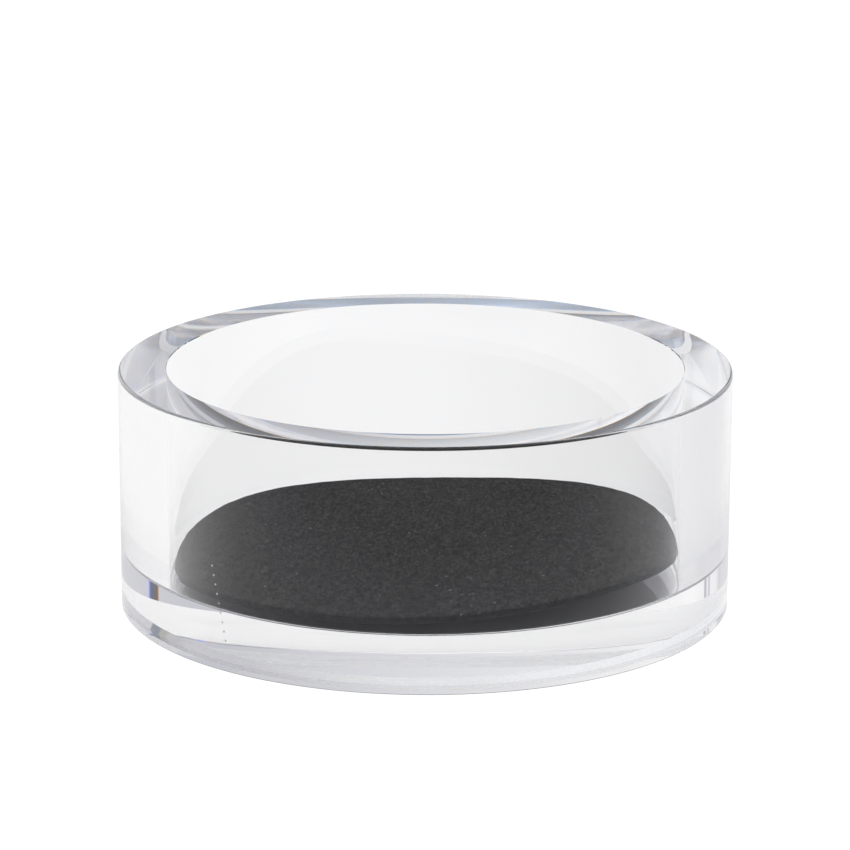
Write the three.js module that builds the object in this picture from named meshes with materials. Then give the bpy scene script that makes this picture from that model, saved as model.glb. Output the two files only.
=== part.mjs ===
// Clear acrylic bottle coaster: a thick-walled round dish with a loose felt pad.
//
// Millimetres, +Z up. The origin is on the axis of the dish, in the plane of its
// foot, so the dish stands on z = 0. Its front faces -Y.
//
// Three separate pieces:
//   wall_tube  a section of thick acrylic tube, the full height of the dish
//   base_disc  a thick acrylic disc cemented inside the tube, just clear of the
//              table, so that the dish stands on the cut end of the tube
//   felt_pad   a disc of black felt, lying loose on the base disc

import * as THREE from 'three';

// ---- dish dimensions --------------------------------------------------------
const OUTER_D = 127;
const WALL_T = 10;
const HEIGHT = 50;
const DISC_T = 9.7;
const DISC_RECESS = 0.1;      // underside of the disc above the foot
const RIM_ROUND = 0.7;        // radius on the outer edge of the rim
const MOUTH_CHAMFER = 0.15;   // inner edge of the rim
const FOOT_CHAMFER = 0.15;    // outer edge of the foot
const FOOT_BEVEL = 1.4;       // 45 degree bevel on the bore at the foot

const outerR = OUTER_D / 2;
const innerR = outerR - WALL_T;
const floorZ = DISC_RECESS + DISC_T;

// ---- felt pad dimensions ----------------------------------------------------
const PAD_D = 104.8;
const PAD_T = 1.6;
const PAD_X = 0.2;            // where the centre of the pad lies in the dish
const PAD_Y = -0.6;
const PAD_GAP = 0.3;          // daylight left under its lowest point

// The curl of the felt, as a polynomial in u = x / CURL_SCALE and
// v = y / CURL_SCALE, with x and y measured from the axis of the dish.
// The pad rises most towards +X, and its front edge stands higher than its back.
const CURL_SCALE = 50;
// Each term: [lift in mm, power of u, power of v]
const CURL_TERMS = [
  [1.55, 1, 0],
  [-0.91, 0, 1],
  [3.0, 2, 0],
  [-0.68, 1, 1],
  [-0.62, 0, 2],
  [0.53, 3, 0],
  [0.93, 2, 1],
  [-1.04, 4, 0],
];

// ---- mesh resolution --------------------------------------------------------
const DISH_SEGMENTS = 120;    // around the tube and the base disc
const ROUND_STEPS = 4;        // along the round of the rim
const PAD_SEGMENTS = 72;      // around the pad
const PAD_RINGS = 9;          // from the pad's centre to its edge

// ---- helpers ----------------------------------------------------------------
// Turns a profile of [radius, height] pairs about the Z axis.
function turned(profile, segments) {
  const points = profile.map(([radius, z]) => new THREE.Vector2(radius, z));
  // A lathe turns about Y, so the result is stood up along Z.
  return new THREE.LatheGeometry(points, segments).rotateX(Math.PI / 2);
}

function namedMesh(name, geometry, material) {
  const mesh = new THREE.Mesh(geometry, material);
  mesh.name = name;
  return mesh;
}

// ---- materials --------------------------------------------------------------
function clearAcrylic(name) {
  return new THREE.MeshStandardMaterial({
    name,
    color: 0xf2f4f7,
    roughness: 0.05,
    metalness: 0,
    transparent: true,
    opacity: 0.35,
  });
}

function blackFelt() {
  return new THREE.MeshStandardMaterial({
    name: 'black_felt',
    color: 0x2b2b2c,
    roughness: 1,
    metalness: 0,
  });
}

// ---- wall tube --------------------------------------------------------------
// Quarter circle from the outer wall up and in to the top of the rim.
function rimRound() {
  const points = [];
  for (let i = 0; i <= ROUND_STEPS; i += 1) {
    const angle = (Math.PI / 2) * (i / ROUND_STEPS);
    points.push([
      outerR - RIM_ROUND + RIM_ROUND * Math.cos(angle),
      HEIGHT - RIM_ROUND + RIM_ROUND * Math.sin(angle),
    ]);
  }
  return points;
}

// The section runs out along the foot, up the outside, over the rim and down
// the bore, with a point where the bore meets the top of the base disc.
function wallTube() {
  const profile = [
    [innerR + FOOT_BEVEL, 0],
    [outerR - FOOT_CHAMFER, 0],
    [outerR, FOOT_CHAMFER],
    ...rimRound(),
    [innerR + MOUTH_CHAMFER, HEIGHT],
    [innerR, HEIGHT - MOUTH_CHAMFER],
    [innerR, floorZ],
    [innerR, FOOT_BEVEL],
    [innerR + FOOT_BEVEL, 0],
  ];
  return namedMesh('wall_tube', turned(profile, DISH_SEGMENTS), clearAcrylic('clear_acrylic'));
}

// ---- base disc --------------------------------------------------------------
// Its edge is cemented to the bore of the tube.
function baseDisc() {
  const profile = [
    [0, DISC_RECESS],
    [innerR, DISC_RECESS],
    [innerR, floorZ],
    [0, floorZ],
  ];
  const material = clearAcrylic('clear_acrylic_disc');
  return namedMesh('base_disc', turned(profile, DISH_SEGMENTS), material);
}

// ---- felt pad ---------------------------------------------------------------
// Flat disc, ringed on both faces so that it can follow the curl.
function flatPad() {
  const radii = [];
  for (let i = 0; i <= PAD_RINGS; i += 1) radii.push((PAD_D / 2 * i) / PAD_RINGS);

  const underside = radii.map((radius) => [radius, 0]);
  const top = radii.map((radius) => [radius, PAD_T]).reverse();
  return turned([...underside, ...top], PAD_SEGMENTS);
}

// Height of the curl at a place in the dish, relative to its height on the axis.
function curlHeight(x, y) {
  const u = x / CURL_SCALE;
  const v = y / CURL_SCALE;
  return CURL_TERMS.reduce(
    (sum, [lift, uPower, vPower]) => sum + lift * u ** uPower * v ** vPower,
    0,
  );
}

// Lifts the flat disc into its curl, leaving its lowest point at z = 0.
function curl(geometry) {
  const { position } = geometry.attributes;
  const heights = [];
  for (let i = 0; i < position.count; i += 1) {
    heights.push(curlHeight(position.getX(i) + PAD_X, position.getY(i) + PAD_Y));
  }

  const lowest = Math.min(...heights);
  heights.forEach((height, i) => position.setZ(i, position.getZ(i) + height - lowest));
  geometry.computeVertexNormals();
  return geometry;
}

function feltPad() {
  const pad = namedMesh('felt_pad', curl(flatPad()), blackFelt());
  pad.position.set(PAD_X, PAD_Y, floorZ + PAD_GAP);
  return pad;
}

// ---- assembly ---------------------------------------------------------------
const dish = new THREE.Group();
dish.add(wallTube(), baseDisc());

const coaster = new THREE.Group();
coaster.add(dish, feltPad());

export default coaster;
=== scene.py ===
"""A round dish of clear acrylic with a black felt pad in it.

The dish stands on z = 0, centred on the Z axis. The camera looks from -Y, so -Y is the front and
+X the right. Sizes of pieces are in mm and become metres through MM; positions inside the
materials are in metres.
"""
import math

import bpy
import numpy as np
from mathutils import Matrix, Vector


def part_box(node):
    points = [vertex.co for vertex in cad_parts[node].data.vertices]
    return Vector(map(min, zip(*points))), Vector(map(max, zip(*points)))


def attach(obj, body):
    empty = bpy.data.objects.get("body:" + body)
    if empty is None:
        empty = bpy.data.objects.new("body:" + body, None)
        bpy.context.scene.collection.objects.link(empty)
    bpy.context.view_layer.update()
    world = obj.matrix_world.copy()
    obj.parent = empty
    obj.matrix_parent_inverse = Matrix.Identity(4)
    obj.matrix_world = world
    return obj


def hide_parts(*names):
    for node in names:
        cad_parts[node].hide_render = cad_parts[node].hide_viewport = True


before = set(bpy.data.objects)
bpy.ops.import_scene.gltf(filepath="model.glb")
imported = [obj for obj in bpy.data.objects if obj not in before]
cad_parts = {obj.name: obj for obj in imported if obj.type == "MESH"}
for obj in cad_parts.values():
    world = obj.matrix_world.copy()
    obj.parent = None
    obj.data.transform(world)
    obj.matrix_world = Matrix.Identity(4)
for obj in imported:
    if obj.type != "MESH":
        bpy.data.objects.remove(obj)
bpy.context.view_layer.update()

MM = 0.001
rng = np.random.default_rng(20417)

# ---------------------------------------------------------------- sizes
disc_lo, disc_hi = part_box("base_disc")
tube_lo, tube_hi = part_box("wall_tube")
pad_lo, pad_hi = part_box("felt_pad")

OUTER_R = (tube_hi.x - tube_lo.x) / 2 / MM
HEIGHT = tube_hi.z / MM
FLOOR_Z = disc_hi.z / MM
RECESS = disc_lo.z / MM  # height of the disc's underside
INNER_R = (disc_hi.x - disc_lo.x) / 2 / MM
RIM_ROUND = 0.7
MOUTH_CHAMFER = 0.15
FOOT_CHAMFER = 0.15
FOOT_BEVEL = 1.4
BEAD = 0.85  # cement round the top edge of the disc
SHARP = 0.05  # fillet of an edge that looks sharp
DISH_SEGMENTS = 512

PAD_R = (pad_hi.x - pad_lo.x) / 2 / MM
PAD_X = (pad_hi.x + pad_lo.x) / 2 / MM
PAD_Y = (pad_hi.y + pad_lo.y) / 2 / MM
PAD_Z = pad_lo.z / MM
PAD_T = 1.6
PAD_EDGE = 0.45  # how far the rounded edge stands out
PAD_GAP = 0.06  # clearance under its lowest point
PAD_STRETCH_X = 1.008
PAD_SEGMENTS = 384
PAD_RINGS = 34

IOR = 1.4925
FRONT_FLOOR = 0.27  # painted shade: how dark the table in front of the dish looks in the acrylic


# ---------------------------------------------------------------- node helpers
class Graph:
    """A node tree with short calls. Any input may be a socket to link or a plain value."""

    def __init__(self, tree):
        self.tree = tree
        tree.nodes.clear()

    def node(self, kind, inputs=None, **settings):
        made = self.tree.nodes.new("ShaderNode" + kind)
        for name, value in settings.items():
            setattr(made, name, value)
        for key, value in (inputs or {}).items():
            self.feed(made.inputs[key], value)
        return made

    def feed(self, socket, value):
        if isinstance(value, bpy.types.NodeSocket):
            self.tree.links.new(value, socket)
        elif socket.type == "RGBA":
            socket.default_value = (*value, 1.0)
        else:
            socket.default_value = value

    def socket(self, kind, inputs=None, **settings):
        """Makes a node and gives its first output."""
        return self.node(kind, inputs, **settings).outputs[0]

    def calc(self, operation, *values):
        return self.socket("Math", dict(enumerate(values)), operation=operation)

    def add(self, a, b):
        return self.calc("ADD", a, b)

    def minus(self, a, b):
        return self.calc("SUBTRACT", a, b)

    def one_minus(self, value):
        return self.minus(1.0, value)

    def mul(self, product, *factors):
        for factor in factors:
            product = self.calc("MULTIPLY", product, factor)
        return product

    def above(self, value, limit):
        return self.calc("GREATER_THAN", value, limit)

    def below(self, value, limit):
        return self.calc("LESS_THAN", value, limit)

    def ramp(self, value, over, to=(0.0, 1.0), smooth=True):
        """Runs between the two values of 'to' while the value runs over 'over'."""
        return self.socket("MapRange", {
            "Value": value, "From Min": over[0], "From Max": over[1],
            "To Min": to[0], "To Max": to[1],
        }, interpolation_type="SMOOTHSTEP" if smooth else "LINEAR")

    def band(self, value, rise, fall):
        """1 between the rise and the fall, 0 outside them."""
        return self.mul(self.ramp(value, over=rise), self.one_minus(self.ramp(value, over=fall)))

    def mix_rgb(self, factor, a, b, blend="MIX"):
        made = self.node("Mix", data_type="RGBA", blend_type=blend)
        # several sockets are called A and B, so the colour ones are picked by type
        colours = [s for s in made.inputs if s.type == "RGBA"]
        self.feed([s for s in made.inputs if s.type == "VALUE"][0], factor)
        self.feed(colours[0], a)
        self.feed(colours[1], b)
        return [s for s in made.outputs if s.type == "RGBA"][0]

    def separate(self, vector):
        return self.node("SeparateXYZ", {0: vector}).outputs[:3]

    def noise(self, vector, scale, detail, **more):
        inputs = {"Vector": vector, "Scale": scale, "Detail": detail}
        inputs.update((name.capitalize(), value) for name, value in more.items())
        return self.node("TexNoise", inputs).outputs["Fac"]

    def bump(self, height, strength, distance):
        return self.socket("Bump", {"Height": height, "Strength": strength, "Distance": distance})

    def emission(self, colour, strength):
        return self.socket("Emission", {"Color": colour, "Strength": strength})

    def background(self, colour, strength):
        return self.socket("Background", {"Color": colour, "Strength": strength})

    def mix_shader(self, factor, a, b):
        return self.socket("MixShader", {0: factor, 1: a, 2: b})

    def add_shader(self, a, b):
        return self.socket("AddShader", {0: a, 1: b})

    def surface(self, shader, kind="OutputMaterial"):
        self.node(kind, {"Surface": shader})


def new_material(name):
    material = bpy.data.materials.new(name)
    material.use_nodes = True
    return material, Graph(material.node_tree)


# ---------------------------------------------------------------- the studio as the acrylic sees it
def viewer_axes(g, vector):
    """Splits a vector into side (to the viewer's right), away (from the viewer) and height.
    The light rig stays with the camera, as on a turntable."""
    def in_camera(world_vector):
        return g.separate(g.socket(
            "VectorTransform", {0: world_vector},
            vector_type="VECTOR", convert_from="WORLD", convert_to="CAMERA"))

    side, _, depth = in_camera(vector)
    _, _, up_depth = in_camera((0.0, 0.0, 1.0))
    _, _, height = g.separate(vector)
    return side, g.minus(depth, g.mul(up_depth, height)), height


def backdrop(g, side, away, height):
    """Brightness round the dish: bright behind on the left, greyer right, darker in front."""
    across = g.ramp(side, over=(-0.75, 0.50), to=(1.0, 0.615), smooth=False)
    depth = g.ramp(away, over=(-0.45, 0.15), to=(0.30, 1.0))
    around = g.mul(across, depth)
    overhead = g.ramp(height, over=(0.75, 0.97))
    overhead_level = 1.15
    return g.add(g.mul(around, g.one_minus(overhead)), g.mul(overhead, overhead_level))


def tinted(g, level):
    """Dim parts of the studio are slightly blue."""
    bright = g.ramp(level, over=(0.45, 0.95), smooth=False)
    return g.mix_rgb(bright, (0.88, 0.885, 1.0), (1, 1, 1))


# ---------------------------------------------------------------- turned shapes
def fillet_profile(corners, steps):
    """Rounds a profile of (r, z, fillet radius) that starts and ends on the axis.
    Returns the points and their exact normals."""
    points, normals = [np.array(corners[0][:2], float)], [np.array([0.0, -1.0])]
    for before, (r, z, radius), after in zip(corners, corners[1:], corners[2:]):
        corner = np.array([r, z], float)
        a = np.array(before[:2], float)
        b = np.array(after[:2], float)
        dir_in = (corner - a) / np.linalg.norm(corner - a)
        dir_out = (b - corner) / np.linalg.norm(b - corner)
        normal_in = np.array([dir_in[1], -dir_in[0]])
        turn = math.acos(max(-1, min(1, float(dir_in @ dir_out))))
        cut = radius * math.tan(turn / 2)
        side = 1.0 if (dir_in[0] * dir_out[1] - dir_in[1] * dir_out[0]) > 0 else -1.0
        centre = corner - dir_in * cut - side * normal_in * radius
        for k in range(steps + 1):
            angle = turn * k / steps * side
            c, s = math.cos(angle), math.sin(angle)
            normal = np.array([c * normal_in[0] - s * normal_in[1],
                               s * normal_in[0] + c * normal_in[1]])
            points.append(centre + side * normal * radius)
            normals.append(normal)
    points.append(np.array(corners[-1][:2], float))
    normals.append(np.array([0.0, 1.0]))
    return points, normals


def densify(points, normals, spacing):
    """Adds points on long straight runs, so that no face is a thin sliver across the piece."""
    dense_points, dense_normals = [], []
    for i in range(len(points) - 1):
        dense_points.append(points[i])
        dense_normals.append(normals[i])
        extra = int(np.linalg.norm(points[i + 1] - points[i]) // spacing)
        for m in range(1, extra + 1):
            f = m / (extra + 1)
            dense_points.append(points[i] * (1 - f) + points[i + 1] * f)
            normal = normals[i] * (1 - f) + normals[i + 1] * f
            dense_normals.append(normal / np.linalg.norm(normal))
    return dense_points + [points[-1]], dense_normals + [normals[-1]]


def ring_faces(rows):
    """Faces between successive rings of vertex numbers; a row of one vertex is a pole."""
    segments = max(len(row) for row in rows)
    faces = []
    for lo, hi in zip(rows[:-1], rows[1:]):
        for k in range(segments):
            k2 = (k + 1) % segments
            if len(lo) == 1:
                faces.append((lo[0], hi[k2], hi[k]))
            elif len(hi) == 1:
                faces.append((lo[k], lo[k2], hi[0]))
            else:
                faces.append((lo[k], lo[k2], hi[k2], hi[k]))
    return faces


def link_object(name, data):
    ob = bpy.data.objects.new(name, data)
    bpy.context.scene.collection.objects.link(ob)
    return ob


def smooth_object(name, verts, faces, normals=None):
    mesh = bpy.data.meshes.new(name)
    mesh.from_pydata([tuple(map(float, v)) for v in verts], [], faces)
    mesh.validate()
    mesh.polygons.foreach_set("use_smooth", [True] * len(mesh.polygons))
    if normals is not None:
        mesh.normals_split_custom_set_from_vertices([tuple(map(float, v)) for v in normals])
    mesh.update()
    return link_object(name, mesh)


def turned_object(name, points, normals, segments):
    """Solid of revolution about Z from a profile that starts and ends on the axis."""
    angles = np.arange(segments) * 2 * math.pi / segments
    c, s = np.cos(angles), np.sin(angles)
    verts, vert_normals, rows = [], [], []
    for (r, z), (normal_r, normal_z) in zip(points, normals):
        if r < 1e-9:
            rows.append([len(verts)])
            verts.append((0.0, 0.0, z * MM))
            vert_normals.append((0.0, 0.0, 1.0 if normal_z > 0 else -1.0))
        else:
            rows.append(list(range(len(verts), len(verts) + segments)))
            verts.extend(zip(r * MM * c, r * MM * s, [z * MM] * segments))
            vert_normals.extend(zip(normal_r * c, normal_r * s, [normal_z] * segments))
    return smooth_object(name, verts, ring_faces(rows), vert_normals)


# ---------------------------------------------------------------- clear acrylic
# colour spread is made by adding a warm and a cool half that bend light differently
WARM_HALF = (0.90, 0.50, 0.10)
COOL_HALF = (0.10, 0.50, 0.90)

# a slanting chain of pinhead bubbles, low on the front left of the wall
BUBBLES = 9
BUBBLE_TOP_X, BUBBLE_TOP_Z = -41.9, 21.3
BUBBLE_DROP, BUBBLE_DRIFT = 1.862, 0.332  # from one to the next, down and towards +X
BUBBLE_SQUEEZE_X = 1.15
BUBBLE_EDGE = (0.17 * MM, 0.28 * MM)  # radii between which a bubble fades out


def mirrored_studio(g, incoming, normal):
    """The studio's reflection in the convex outside, worked out from the direction alone."""
    view = g.socket("VectorMath", {0: incoming, "Scale": -1.0}, operation="SCALE")
    bounced = g.socket("VectorMath", {0: view, 1: normal}, operation="REFLECT")
    side, away, height = viewer_axes(g, bounced)
    room = backdrop(g, side, away, height)
    ground = g.ramp(away, over=(-0.35, 0.15), to=(FRONT_FLOOR * 0.95, 0.92))
    is_up = g.ramp(height, over=(-0.02, 0.02))
    image = g.add(g.mul(room, is_up), g.mul(ground, g.one_minus(is_up)))
    # dimmer far to the right and higher up
    image = g.mul(image, g.ramp(side, over=(0.3, 0.9), to=(1.0, 0.5)),
                  g.ramp(height, over=(0.34, 0.60), to=(1.0, 0.2)))
    return g.emission(tinted(g, image), image)


def bubble_mask(g, x, y, z):
    run = g.calc("DIVIDE", g.minus(BUBBLE_TOP_Z * MM, z), BUBBLE_DROP * MM)
    nearest = g.calc("ROUND", run)
    off_z = g.mul(g.minus(run, nearest), BUBBLE_DROP * MM)
    centre_x = g.add(BUBBLE_TOP_X * MM, g.mul(nearest, BUBBLE_DRIFT * MM))
    off_x = g.mul(g.minus(x, centre_x), BUBBLE_SQUEEZE_X)
    apart = g.calc("SQRT", g.add(g.mul(off_x, off_x), g.mul(off_z, off_z)))
    return g.mul(g.one_minus(g.ramp(apart, over=BUBBLE_EDGE)), g.below(y, 0.0),
                 g.above(run, -0.5), g.below(run, BUBBLES - 0.5))


def acrylic_material():
    material, g = new_material("clear_acrylic")
    geometry = g.node("NewGeometry").outputs
    # slow waviness of cast, hand-polished acrylic
    wave = g.noise(geometry["Position"], scale=55.0, detail=2.0)
    normal = g.bump(wave, strength=0.12, distance=0.00006)

    def glass(colour, ior, kind="BsdfGlass", distribution="MULTI_GGX"):
        return g.socket(kind, {"Color": colour, "Roughness": 0.0, "IOR": ior, "Normal": normal},
                        distribution=distribution)

    def bending(colour, ior):
        return glass(colour, ior, kind="BsdfRefraction", distribution="GGX")

    def spread(clear, warm_ior, cool_ior):
        return g.add_shader(clear(WARM_HALF, warm_ior), clear(COOL_HALF, cool_ior))

    place = g.node("TexCoord").outputs["Object"]
    x, y, z = g.separate(place)
    is_rim = g.above(z, (HEIGHT - 0.01) * MM)

    # outside: what comes through it, and the mirrored studio
    through = g.mix_shader(is_rim, bending((1.0, 1.0, 1.0), IOR),
                           spread(bending, warm_ior=1.4890, cool_ior=1.4960))
    fresnel = g.socket("Fresnel", {"IOR": IOR, "Normal": normal})
    outside = g.mix_shader(fresnel, through, mirrored_studio(g, geometry["Incoming"], normal))

    radius_sq = g.add(g.mul(x, x), g.mul(y, y))
    is_wall = g.mul(g.above(radius_sq, ((OUTER_R - 1.0) * MM) ** 2),
                    g.above(z, FOOT_CHAMFER * MM))
    is_outside = g.mul(g.calc("MAXIMUM", is_wall, is_rim), g.one_minus(geometry["Backfacing"]))

    bubble = g.emission((0.97, 0.98, 1.0), strength=0.42)
    bubble_cover = 0.85
    dotted = g.mix_shader(g.mul(bubble_mask(g, x, y, z), bubble_cover), outside, bubble)
    seen = g.mix_shader(is_outside, spread(glass, warm_ior=1.4895, cool_ior=1.4955), dotted)

    # painted shade: the chamfer of the foot is drawn as a thin grey line of glow, standing in for
    # the dark edge the light gives it
    painted_edge_line = g.emission((0.98, 0.98, 1.0), strength=0.16)
    painted_edge_cover = 0.9
    is_foot = g.mul(g.above(radius_sq, ((OUTER_R - FOOT_CHAMFER - 0.02) * MM) ** 2),
                    g.below(z, (FOOT_CHAMFER + 0.02) * MM))
    is_foot = g.mul(is_foot, g.one_minus(geometry["Backfacing"]))
    edged = g.mix_shader(g.mul(is_foot, painted_edge_cover), seen, painted_edge_line)

    # only the surface the eye meets first gets all this
    is_camera = g.node("LightPath").outputs["Is Camera Ray"]
    g.surface(g.mix_shader(is_camera, glass((1, 1, 1), IOR), edged))
    return material


def frosted_material():
    """The bevel round the bore at the foot is left as cut: matt and whitish, finely grained. How
    bright it looks to the eye is mostly painted glow.
    """
    material, g = new_material("clear_acrylic_as_cut")
    grain = g.noise(g.node("TexCoord").outputs["Object"], scale=1800.0, detail=3.0)
    normal = g.bump(grain, strength=0.3, distance=0.00005)
    clear = g.socket("BsdfGlass", {"Roughness": 0.45, "IOR": IOR, "Normal": normal})

    # the bevel gathers less light on the left
    side, away, _ = viewer_axes(g, g.node("NewGeometry").outputs["Position"])
    level = g.ramp(side, over=(-0.046, 0.004), to=(0.50, 0.74))
    level = g.mul(level, g.ramp(side, over=(0.004, 0.030), to=(1.0, 1.11)))

    # a slate mark on the left with a brown edge and a faint tail, by degrees from the front
    turn = g.mul(g.calc("ARCTAN2", g.mul(side, -1.0), g.mul(away, -1.0)), 180.0 / math.pi)
    slate_from, brown_from = (64.6, 65.4), (61.6, 62.9)
    slate = g.band(turn, rise=slate_from, fall=(68.2, 69.0))
    brown = g.band(turn, rise=brown_from, fall=slate_from)
    tail = g.band(turn, rise=(54.0, 59.0), fall=brown_from)
    slate_dark, brown_dark, tail_dark = 0.60, 0.33, 0.13
    taken = g.add(g.mul(slate, slate_dark),
                  g.add(g.mul(brown, brown_dark), g.mul(tail, tail_dark)))
    level = g.mul(level, g.one_minus(taken), g.ramp(grain, over=(0.3, 0.7), to=(0.97, 1.03)))

    # seen straight through the wall it is lighter than in its own reflections
    light_path = g.node("LightPath").outputs
    straight = g.below(light_path["Ray Depth"], 1.5)
    level = g.mul(level, g.ramp(straight, over=(0.0, 1.0), to=(0.975, 1.08)))

    # to diffuse light it is plain white; to the eye it is mostly painted glow
    lighting = g.above(light_path["Diffuse Depth"], 0.5)
    white = g.socket("BsdfDiffuse", {
        "Color": g.mix_rgb(lighting, (0.10, 0.10, 0.102), (0.88, 0.88, 0.90))})
    tint = g.mix_rgb(g.ramp(level, over=(0.50, 0.74)), (0.97, 0.97, 1.05), (0.99, 0.995, 1.02))
    tint = g.mix_rgb(slate, tint, (0.80, 0.97, 1.30))
    tint = g.mix_rgb(brown, tint, (1.05, 1.0, 0.93))
    diffuse_share = 0.06  # part of the level that the diffuse white already gives
    painted_glow = g.emission(tint, g.mul(g.one_minus(lighting), g.minus(level, diffuse_share)))
    frosting = 0.94
    g.surface(g.mix_shader(frosting, clear, g.add_shader(white, painted_glow)))
    return material


# ---------------------------------------------------------------- dish
def build_dish():
    """One optically continuous dish: the cement between tube and disc has the index of the
    acrylic, so only its bead round the top edge of the disc shows."""
    corners = [  # r, z, fillet radius: underside, bore, foot, outside, rim, inside, floor
        (0.0, RECESS, 0.0),
        (INNER_R, RECESS, SHARP),
        (INNER_R, FOOT_BEVEL, SHARP),
        (INNER_R + FOOT_BEVEL, 0.0, SHARP),
        (OUTER_R - FOOT_CHAMFER, 0.0, SHARP),
        (OUTER_R, FOOT_CHAMFER, SHARP),
        (OUTER_R, HEIGHT, RIM_ROUND),
        (INNER_R + MOUTH_CHAMFER, HEIGHT, SHARP),
        (INNER_R, HEIGHT - MOUTH_CHAMFER, SHARP),
        (INNER_R, FLOOR_Z, BEAD),
        (0.0, FLOOR_Z, 0.0),
    ]
    points, normals = fillet_profile(corners, steps=8)
    points, normals = densify(points, normals, spacing=6.0)
    ob = turned_object("acrylic_dish", points, normals, DISH_SEGMENTS)
    ob.data.materials.append(acrylic_material())
    ob.data.materials.append(frosted_material())
    # the frosted faces are the foot bevel and its fillets, with a little margin
    for face in ob.data.polygons:
        x, y, z = face.center
        r = math.hypot(x, y) / MM
        in_reach = INNER_R - 0.08 < r < INNER_R + FOOT_BEVEL + 0.06
        if in_reach and z / MM < FOOT_BEVEL + 0.08:
            face.material_index = 1
    return ob


dish = build_dish()
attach(dish, "dish")
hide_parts("wall_tube", "base_disc")


# ---------------------------------------------------------------- felt pad
FIBRES = [  # angle, scale, stretch of each layer of matted fibres
    (0.35, 1500.0, 0.42),
    (-1.1, 1900.0, 0.44),
    (1.9, 2600.0, 0.42),
    (2.7, 900.0, 0.45),
]
OUTLINE_WAVES = [  # waves round the hand-cut outline, amplitude in mm
    (2, 0.16), (3, 0.10), (5, 0.08), (9, 0.05), (17, 0.045),
    (31, 0.045), (44, 0.035), (57, 0.035), (83, 0.025), (101, 0.02),
]


def felt_material():
    material, g = new_material("black_felt")
    place = g.node("TexCoord").outputs["Object"]

    def fibres(angle, scale, stretch):
        mapped = g.socket("Mapping", {
            "Vector": place,
            "Rotation": (0, 0, angle),
            "Scale": (scale, scale * stretch, scale),
        })
        return g.noise(mapped, scale=1.0, detail=5.0, roughness=0.65, distortion=0.8)

    layers = [fibres(*layer) for layer in FIBRES]
    matted = g.add(g.add(layers[0], layers[1]), g.add(layers[2], layers[3]))
    matted = g.mul(matted, 1 / len(FIBRES))
    colour = g.mix_rgb(g.ramp(matted, over=(0.44, 0.58)),
                       (0.0060, 0.0059, 0.0055), (0.0370, 0.0368, 0.0352))
    cloud = g.noise(place, scale=70.0, detail=4.0)
    colour = g.mix_rgb(g.ramp(cloud, over=(0.35, 0.65), to=(0.0, 0.10)),
                       colour, (0.026, 0.0258, 0.0255))
    # stray light fibres and lint
    fleck = g.noise(place, scale=1100.0, detail=1.0)
    colour = g.mix_rgb(g.ramp(fleck, over=(0.73, 0.80), to=(0.0, 0.8)),
                       colour, (0.22, 0.22, 0.225))
    # painted shade: the cut edge is darker than the faces, as less light reaches the sides
    _, _, normal_z = g.separate(g.node("NewGeometry").outputs["Normal"])
    is_flat = g.ramp(g.calc("ABSOLUTE", normal_z), over=(0.35, 0.85))
    shade = g.mix_rgb(is_flat, (0.35, 0.35, 0.36), (1.0, 1.0, 1.0))
    g.surface(g.socket("BsdfPrincipled", {
        "Base Color": g.mix_rgb(1.0, colour, shade, blend="MULTIPLY"),
        "Roughness": 1.0,
        "Specular IOR Level": 0.05,
        "Sheen Weight": 0.01,
        "Sheen Roughness": 0.5,
        "Normal": g.bump(matted, strength=0.8, distance=0.0004),
    }))
    return material


def pad_lift(x, y):
    """The set of the felt in mm: high towards +X, nearly level towards -X, a little up in front."""
    u, v = x / 50.0, y / 50.0
    return (1.55 * u - 0.91 * v + 3.0 * u * u - 0.68 * u * v - 0.62 * v * v
            + 0.53 * u ** 3 + 0.93 * u * u * v - 1.04 * u ** 4)


def pad_profile():
    """Underside from the centre out, round the edge, and back to the centre on top."""
    half = PAD_T / 2
    flat_r = PAD_R - PAD_EDGE
    radii = [flat_r * i / PAD_RINGS for i in range(PAD_RINGS + 1)]
    profile = [(r, -half) for r in radii]
    for k in range(1, 8):
        angle = -math.pi / 2 + math.pi * k / 8
        profile.append((flat_r + PAD_EDGE * math.cos(angle), half * math.sin(angle)))
    return profile + [(r, half) for r in reversed(radii)]


def build_pad():
    angles = np.arange(PAD_SEGMENTS) * 2 * math.pi / PAD_SEGMENTS
    wander = np.zeros(PAD_SEGMENTS)
    for waves, amplitude in OUTLINE_WAVES:
        wander += amplitude * np.cos(waves * angles + rng.uniform(0, 2 * math.pi))
    wander -= wander.max()
    phases = rng.uniform(0, 2 * math.pi, 6)

    def dents(x, y):
        """Soft dents and swells of the top."""
        broad = 0.05 * np.sin(x * 0.31 + phases[0]) * np.sin(y * 0.27 + phases[1])
        fine = 0.03 * np.sin(x * 0.83 + phases[2] + 0.4 * y) * np.sin(y * 0.71 + phases[3])
        return broad + fine

    verts, rows = [], []
    for r, z in pad_profile():
        if r < 1e-9:
            rows.append([len(verts)])
            verts.append((PAD_X, PAD_Y, z))
        else:
            cut_r = r + wander * (r / PAD_R) ** 6
            x = PAD_X + PAD_STRETCH_X * cut_r * np.cos(angles)
            y = PAD_Y + cut_r * np.sin(angles)
            dent = dents(x, y) if z > 0 else 0.0
            ring_z = z + dent * (1 - (r / PAD_R) ** 8)
            rows.append(list(range(len(verts), len(verts) + PAD_SEGMENTS)))
            verts.extend(zip(x, y, np.broadcast_to(ring_z, x.shape)))
    verts = np.array(verts, float)
    lift = pad_lift(verts[:, 0], verts[:, 1])
    verts[:, 2] += lift - lift.min() + PAD_Z + PAD_T / 2 + PAD_GAP
    return smooth_object("felt_liner", verts * MM, ring_faces(rows))


felt = felt_material()
pad = build_pad()
pad.data.materials.append(felt)
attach(pad, "pad")
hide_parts("felt_pad")

# ---------------------------------------------------------------- floor
STUDIO_WHITE = 1.05  # brightness of floor and world to the camera
FLOOR_HALF = 4.0
FLOOR_LEVEL = -0.00004


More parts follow.
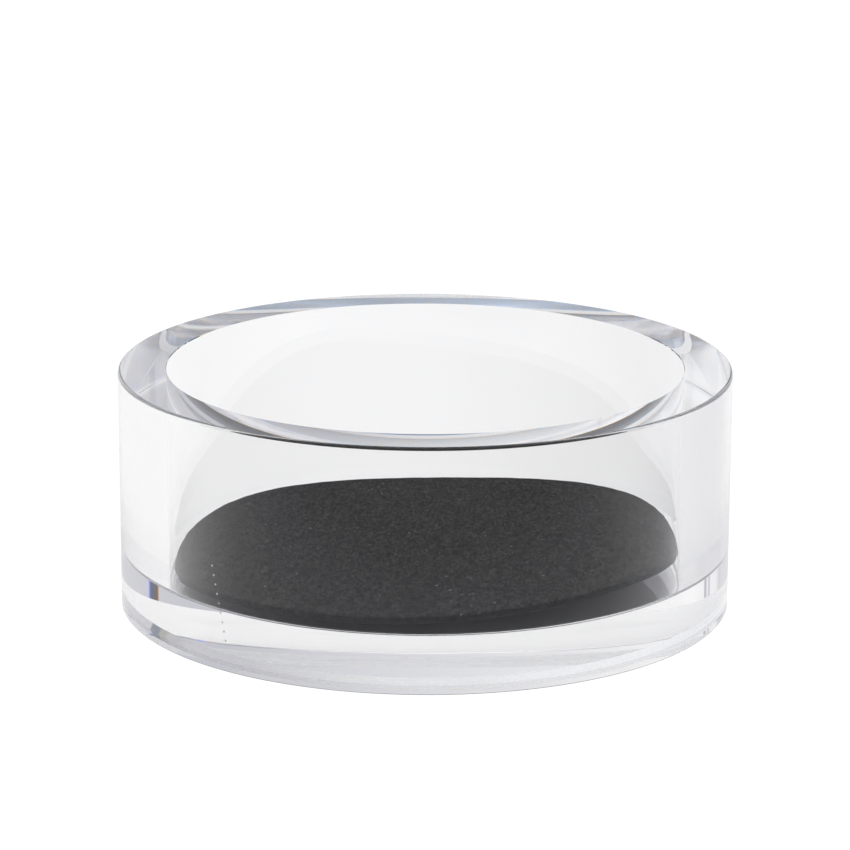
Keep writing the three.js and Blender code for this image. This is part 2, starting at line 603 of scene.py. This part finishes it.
def floor_material():
    """White to the camera; to the acrylic a pale card with painted light and shade."""
    material, g = new_material("studio_floor")
    light_path = g.node("LightPath").outputs
    position = g.node("NewGeometry").outputs["Position"]
    side, away, _ = viewer_axes(g, position)
    radius = g.node("VectorMath", {0: position}, operation="LENGTH").outputs["Value"]

    # painted shade: beyond the dish the card falls away in front, and dims a little at the sides
    # and close in
    beyond = g.ramp(radius, over=(0.0615, 0.0635))
    outer = g.mul(g.ramp(away, over=(-0.16, -0.03), to=(FRONT_FLOOR, 1.0)),
                  g.ramp(side, over=(-0.02, 0.10), to=(1.0, 0.88)),
                  g.ramp(radius, over=(0.066, 0.115), to=(0.885, 0.958)),
                  g.ramp(side, over=(-0.10, 0.0), to=(0.955, 1.0)))

    # little light gets under the felt: covered is 1 while it lies in the dish, 0 once lifted
    in_pad = g.node("TexCoord", object=pad).outputs["Object"]
    _, _, pad_z = g.separate(in_pad)
    covered = g.ramp(pad_z, over=(-0.020, -0.002))
    shadow = g.ramp(radius, over=(0.0490, 0.0535), to=(0.28, 1.0))
    shadow = g.add(g.mul(covered, g.minus(shadow, 1.0)), 1.0)
    under = g.mul(g.ramp(side, over=(-0.062, 0.045), to=(0.60, 1.0)), shadow)

    # painted shade: towards the back the table under the dish is lightest in the middle and
    # darkened in blotches to either side while the felt lies in the dish
    wide = g.calc("ABSOLUTE", side)
    flank = g.mul(g.band(wide, rise=(0.0055, 0.0105), fall=(0.030, 0.038)), covered)
    blotch = g.noise(position, scale=150.0, detail=3.0)
    dimmer = g.mul(flank, g.ramp(away, over=(0.037, 0.044)),
                   g.ramp(blotch, over=(0.36, 0.60), to=(0.28, 0.68)))
    under = g.mul(under, g.one_minus(dimmer))

    # to diffuse light the card is evenly pale
    lighting = g.above(light_path["Diffuse Depth"], 0.5)
    card = g.add(g.mul(beyond, outer), g.mul(g.one_minus(beyond), under))
    card = g.calc("MAXIMUM", card, lighting)
    shade = g.mix_rgb(g.ramp(card, over=(0.60, 0.90)), (0.84, 0.84, 0.905), (0.90, 0.90, 0.905))
    diffuse = g.socket("BsdfDiffuse", {"Color": g.mix_rgb(card, (0.0, 0.0, 0.0), shade)})

    # light that creeps in under the back of the dish through its clear edge
    behind = g.mul(g.ramp(away, over=(0.015, 0.045)), g.ramp(radius, over=(0.030, 0.045)))
    patches = g.noise(position, scale=55.0, detail=2.0)
    covered_gain, flank_loss = 0.6, 0.9
    middle = g.minus(g.add(1.0, g.mul(covered, covered_gain)), g.mul(flank, flank_loss))
    shut_out = g.calc("MAXIMUM", g.ramp(radius, over=(0.0525, 0.0545)), lighting)
    creep = g.mul(behind, g.ramp(patches, over=(0.35, 0.65), to=(0.20, 0.50)),
                  middle, g.one_minus(shut_out))
    painted_glow = g.emission(g.mix_rgb(behind, (0.96, 0.96, 1.0), (0.70, 0.86, 1.10)), creep)

    white = g.emission((1, 1, 1), STUDIO_WHITE)
    g.surface(g.mix_shader(light_path["Is Camera Ray"], g.add_shader(diffuse, painted_glow), white))
    return material


floor_mesh = bpy.data.meshes.new("studio_floor")
floor_corners = [(-1, -1), (1, -1), (1, 1), (-1, 1)]
floor_mesh.from_pydata(
    [(x * FLOOR_HALF, y * FLOOR_HALF, FLOOR_LEVEL) for x, y in floor_corners],
    [], [(0, 1, 2, 3)])
floor = link_object("studio_floor", floor_mesh)
floor_mesh.materials.append(floor_material())

# ---------------------------------------------------------------- world
RIGHT_STAND = 0.745  # side direction of the dark strip on the right
STANDS = [  # upright dark strips behind the dish: side direction, half width, darkness
    (RIGHT_STAND, 0.024, 0.93),
    (-0.800, 0.007, 0.45),
    (-0.822, 0.006, 0.35),
    (-0.925, 0.045, 0.30),
]


def stand_shade(g, side, away, height, at, half_width, dark):
    """Brightness left by one strip, which stands only behind and above the floor."""
    off = g.calc("ABSOLUTE", g.minus(side, at))
    mask = g.one_minus(g.ramp(off, over=(half_width * 0.7, half_width * 1.3)))
    mask = g.mul(mask, g.above(away, 0.0), g.ramp(height, over=(0.02, 0.06)))
    return g.one_minus(g.mul(mask, dark))


def build_world():
    world = bpy.data.worlds.new("soft_studio")
    bpy.context.scene.world = world
    world.use_nodes = True
    g = Graph(world.node_tree)
    side, away, height = viewer_axes(g, g.node("TexCoord").outputs["Generated"])

    # what the acrylic sees; the strip on the right has a warm and a blue edge
    level = backdrop(g, side, away, height)
    for stand in STANDS:
        level = g.mul(level, stand_shade(g, side, away, height, *stand))
    fringe = g.mix_rgb(g.ramp(side, over=(0.730, 0.760)), (1.7, 1.05, 0.55), (0.45, 0.75, 2.6))
    off_stand = g.calc("ABSOLUTE", g.minus(side, RIGHT_STAND))
    near_stand = g.one_minus(g.ramp(off_stand, over=(0.020, 0.036)))
    tint = tinted(g, level)
    fringed = g.mix_rgb(1.0, tint, fringe, blend="MULTIPLY")
    view = g.background(g.mix_rgb(near_stand, tint, fringed), level)

    # what lights the felt and the floor: a plain soft tent, brighter overhead
    soft = g.background((1, 1, 1), g.ramp(height, over=(0.0, 0.9), to=(0.95, 1.22)))
    white = g.background((1, 1, 1), STUDIO_WHITE)
    light_path = g.node("LightPath").outputs
    lighting = g.above(light_path["Diffuse Depth"], 0.5)
    unseen = g.mix_shader(lighting, view, soft)
    g.surface(g.mix_shader(light_path["Is Camera Ray"], unseen, white), kind="OutputWorld")


build_world()

# ---------------------------------------------------------------- camera
LENS = 163.62212  # focal length on the sensor
SENSOR = 36.0
DISTANCE = 813.7  # from the origin
# degrees: height of the view, roll, and the turn right and up from the origin
ELEVATION, ROLL, PAN, TILT = (math.radians(v) for v in (17.93, 0.212, -0.002, 2.515))


def build_camera():
    place = Vector((0, -DISTANCE * math.cos(ELEVATION), DISTANCE * math.sin(ELEVATION)))
    to_origin = (-place).normalized()
    right = Vector((1, 0, 0))
    up = right.cross(to_origin)
    forward = (to_origin + math.tan(PAN) * right + math.tan(TILT) * up).normalized()
    level_right = forward.cross(Vector((0, 0, 1))).normalized()
    level_up = level_right.cross(forward)
    rolled_right = math.cos(ROLL) * level_right + math.sin(ROLL) * level_up
    rolled_up = -math.sin(ROLL) * level_right + math.cos(ROLL) * level_up

    data = bpy.data.cameras.new("camera")
    data.sensor_width = SENSOR
    data.lens = LENS
    data.clip_start, data.clip_end = 0.05, 50
    camera = link_object("camera", data)
    turned = Matrix((rolled_right, rolled_up, -forward)).transposed()
    camera.matrix_world = Matrix.Translation(place * MM) @ turned.to_4x4()
    bpy.context.scene.camera = camera


build_camera()

# ---------------------------------------------------------------- render settings
scene = bpy.context.scene
scene.view_settings.view_transform = "Standard"
scene.view_settings.look = "None"
scene.view_settings.exposure = 0.0
scene.view_settings.gamma = 1.0
# light crosses many clear surfaces before it leaves the dish
scene.cycles.max_bounces = 40
scene.cycles.transmission_bounces = 40
scene.cycles.glossy_bounces = 24
scene.cycles.diffuse_bounces = 3
scene.cycles.transparent_max_bounces = 16
scene.cycles.caustics_reflective = True
scene.cycles.caustics_refractive = True
scene.cycles.blur_glossy = 0.0
scene.cycles.sample_clamp_indirect = 4.0
scene.cycles.use_denoising = True
